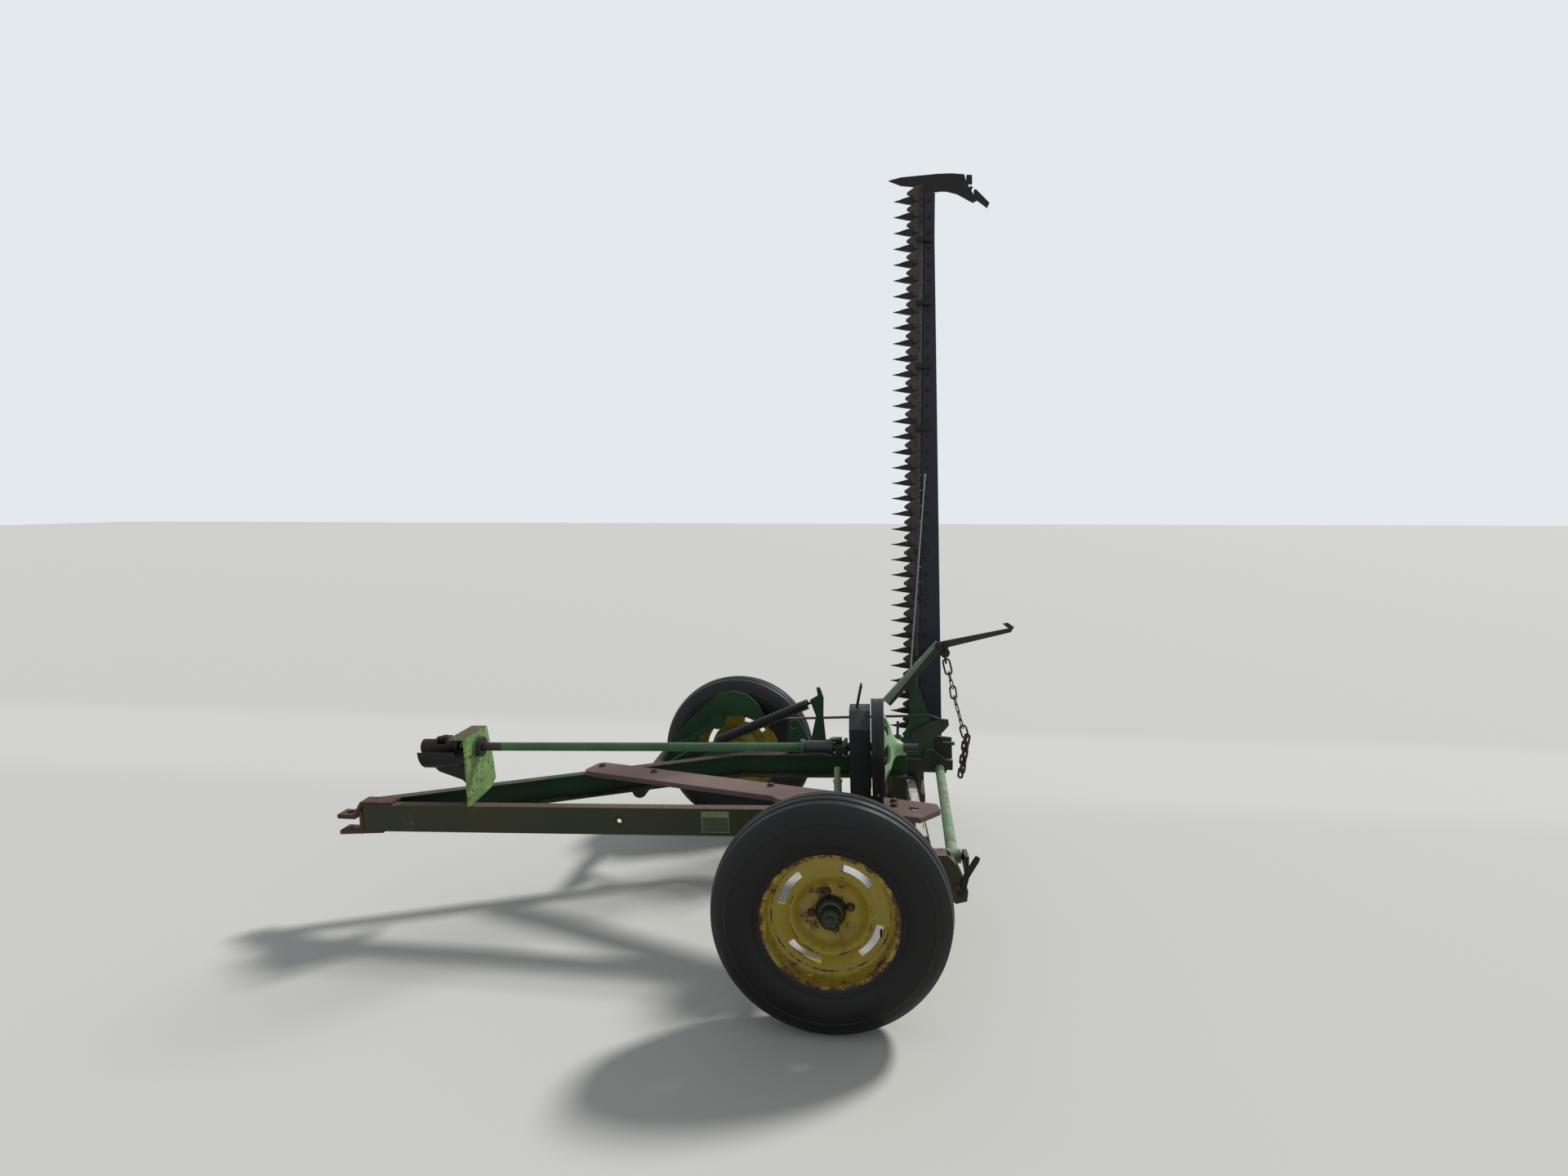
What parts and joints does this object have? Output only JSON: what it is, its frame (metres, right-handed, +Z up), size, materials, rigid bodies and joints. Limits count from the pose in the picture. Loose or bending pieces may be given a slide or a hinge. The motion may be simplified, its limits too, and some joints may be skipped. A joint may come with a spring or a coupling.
{
  "type": "trailed sickle bar mower",
  "caption": "Two-wheeled trailed mower with a belt-driven sickle bar folded upright, tongue hitch and shaft drive.",
  "frame": {"origin": "middle of the drawbar pin's hole, halfway between the two hitch lips", "axes": "+X to the rear, +Y to the machine's right, +Z up along the drawbar pin"},
  "size_m": [2.689, 2.0132, 3.1689],
  "materials": {
    "green_enamel": "faded, chalky",
    "rusty_steel": "rusted",
    "dark_steel": "weathered",
    "belt_rubber": "dull",
    "grey_wood": "weathered",
    "bare_rod": "dull",
    "tyre": "dusty",
    "yellow_enamel": "faded, rust edged"
  },
  "bodies": {
    "frame": {"tongue_left": "green_enamel", "tongue_right": "green_enamel", "hitch_clevis": "rusty_steel", "pto_support": "green_enamel", "front_bearing": "dark_steel", "bell_guard": "dark_steel", "diagonal_brace": "rusty_steel", "rear_beam": "green_enamel", "left_axle": "green_enamel", "arm_tube": "green_enamel", "right_arm": "green_enamel", "counter_spring": "dark_steel", "spring_lever": "dark_steel", "belt_shield": "dark_steel", "belts": "belt_rubber", "crank_hanger": "rusty_steel", "drag_bracket": "green_enamel", "elbow_post": "green_enamel"},
    "driveline": {"line_shaft": "green_enamel", "pto_yoke": "rusty_steel", "drive_sheave": "green_enamel"},
    "crank": {"crank_pulley": "dark_steel", "crank_wheel": "rusty_steel"},
    "drag": {"drag_bar": "green_enamel", "yoke": "green_enamel", "float_spring": "dark_steel", "lift_standard": "green_enamel", "lift_arm": "green_enamel", "hook_strap": "green_enamel", "lift_chain": "rusty_steel", "tilt_lever": "green_enamel", "control_rod": "rusty_steel"},
    "cutter": {"cutter_bar": "dark_steel", "guards": "dark_steel", "bar_clips": "dark_steel", "inner_shoe": "green_enamel", "outer_shoe": "dark_steel", "stay_rod": "bare_rod"},
    "sickle": {"knife": "dark_steel"},
    "pitman_rod": {"pitman": "grey_wood", "pitman_straps": "rusty_steel"},
    "left_roller": {"left_tyre": "tyre", "left_wheel": "yellow_enamel"},
    "right_roller": {"right_tyre": "tyre", "right_wheel": "yellow_enamel"}
  },
  "joints": [
    {"name": "left_wheel_turn", "type": "hinge", "parent": "frame", "child": "left_roller", "pos_m": [1.88, -0.515, 0.01], "axis": [0, 1, 0], "continuous": true},
    {"name": "right_wheel_turn", "type": "hinge", "parent": "frame", "child": "right_roller", "pos_m": [1.348, 1.054, 0.01], "axis": [0, 1, 0], "continuous": true},
    {"name": "driveline_turn", "type": "hinge", "parent": "frame", "child": "driveline", "pos_m": [1.19049, 0.051, 0.32155], "axis": [0.9995, 0, 0.0314], "continuous": true},
    {"name": "crank_turn", "type": "hinge", "parent": "frame", "child": "crank", "pos_m": [2.08098, 0.051, 0.00137], "axis": [0.9995, 0, 0.0314], "continuous": true},
    {"name": "drag_bar_lift", "type": "hinge", "parent": "frame", "child": "drag", "pos_m": [2.288, -0.004, -0.024], "axis": [1, 0, 0], "range_deg": [0, 12]},
    {"name": "cutter_bar_fold", "type": "hinge", "parent": "drag", "child": "cutter", "pos_m": [2.24, 1.169, -0.245], "axis": [-1, 0, -0.0054], "range_deg": [0, 95]},
    {"name": "knife_stroke", "type": "slide", "parent": "cutter", "child": "sickle", "axis": [-0.0054, 0.0543, 0.9985], "range_m": [-0.032, 0.044]},
    {"name": "pitman_swing", "type": "hinge", "parent": "sickle", "child": "pitman_rod", "pos_m": [2.19166, 1.16973, -0.15817], "axis": [-1, 0, -0.0054], "range_deg": [-91.01, 0]}
  ],
  "couplings": [
    {"joint": "crank_turn", "follows": "driveline_turn", "ratio": 2.2288},
    {"joint": "pitman_swing", "follows": "cutter_bar_fold", "ratio": -0.95796}
  ]
}
